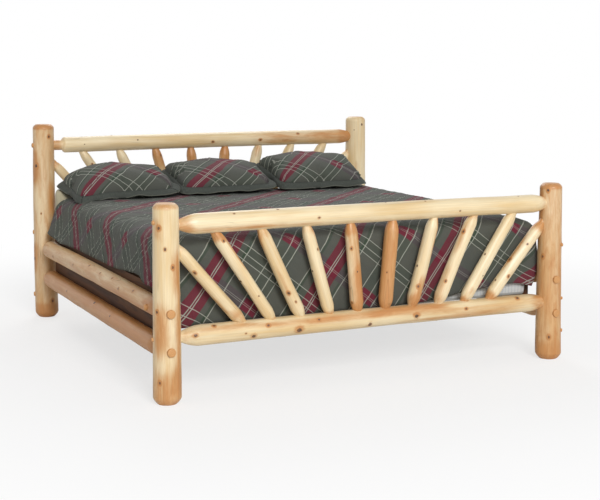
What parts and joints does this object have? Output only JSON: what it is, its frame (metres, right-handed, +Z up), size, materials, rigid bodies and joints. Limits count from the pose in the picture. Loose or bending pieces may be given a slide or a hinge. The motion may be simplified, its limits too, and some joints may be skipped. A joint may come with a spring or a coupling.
{
  "type": "rustic log bed",
  "caption": "King size peeled log bed with fanned spindles in the headboard and footboard, made up with mattress, plaid comforter and pillows.",
  "frame": {"origin": "on the floor under the middle of the bed", "axes": "+X to the right side seen from the foot, +Y to the head end, +Z up"},
  "size_m": [2.2184, 2.313, 1.15],
  "materials": {
    "peeled_log": "clear satin coat over hand peeled logs",
    "plug_wood": "clear satin coat over end grain",
    "dark_board": "dark brown stain",
    "slat_wood": "planed, bare",
    "zinc_steel": "zinc plated",
    "foundation_ticking": "pale woven ticking",
    "mattress_cover": "cream cotton sheet",
    "plaid_comforter": "woven cotton, charcoal green plaid on the bias",
    "plaid_sham": "woven cotton, charcoal green plaid on the bias"
  },
  "bodies": {
    "bed": {"foot_post_left": "peeled_log", "foot_post_right": "peeled_log", "head_post_left": "peeled_log", "head_post_right": "peeled_log", "foot_rail_top": "peeled_log", "foot_rail_bottom": "peeled_log", "head_rail_top": "peeled_log", "head_rail_bottom": "peeled_log", "foot_spindle_1": "peeled_log", "foot_spindle_2": "peeled_log", "foot_spindle_3": "peeled_log", "foot_spindle_4": "peeled_log", "foot_spindle_5": "peeled_log", "foot_spindle_6": "peeled_log", "foot_spindle_7": "peeled_log", "foot_spindle_8": "peeled_log", "foot_spindle_9": "peeled_log", "foot_spindle_10": "peeled_log", "head_spindle_1": "peeled_log", "head_spindle_2": "peeled_log", "head_spindle_3": "peeled_log", "head_spindle_4": "peeled_log", "head_spindle_5": "peeled_log", "head_spindle_6": "peeled_log", "head_spindle_7": "peeled_log", "head_spindle_8": "peeled_log", "head_spindle_9": "peeled_log", "head_spindle_10": "peeled_log", "side_log_upper_left": "peeled_log", "side_log_upper_right": "peeled_log", "side_log_lower_left": "peeled_log", "side_log_lower_right": "peeled_log", "foot_bolt_plugs": "plug_wood", "head_bolt_plugs": "plug_wood", "side_board_left": "dark_board", "side_board_right": "dark_board", "slat_cleat_left": "slat_wood", "slat_cleat_right": "slat_wood", "slat_1": "slat_wood", "slat_2": "slat_wood", "slat_3": "slat_wood", "slat_4": "slat_wood", "slat_5": "slat_wood", "centre_beam": "slat_wood", "centre_leg": "slat_wood", "bed_bolts": "zinc_steel", "bolt_washers": "zinc_steel", "barrel_nuts": "zinc_steel", "board_screws": "zinc_steel", "cleat_screws": "zinc_steel", "slat_screws": "zinc_steel", "leg_lag_screw": "zinc_steel", "foundation_left": "foundation_ticking", "foundation_right": "foundation_ticking", "mattress": "mattress_cover", "comforter": "plaid_comforter"},
    "left_pillow": {"pillow_left": "plaid_sham"},
    "middle_pillow": {"pillow_middle": "plaid_sham"},
    "right_pillow": {"pillow_right": "plaid_sham"}
  },
  "joints": [
    {"name": "left_pillow_lift", "type": "slide", "parent": "bed", "child": "left_pillow", "axis": [0, 0, 1], "range_m": [0, 0.3]},
    {"name": "middle_pillow_lift", "type": "slide", "parent": "bed", "child": "middle_pillow", "axis": [0, 0, 1], "range_m": [0, 0.3]},
    {"name": "right_pillow_lift", "type": "slide", "parent": "bed", "child": "right_pillow", "axis": [0, 0, 1], "range_m": [0, 0.3]}
  ]
}
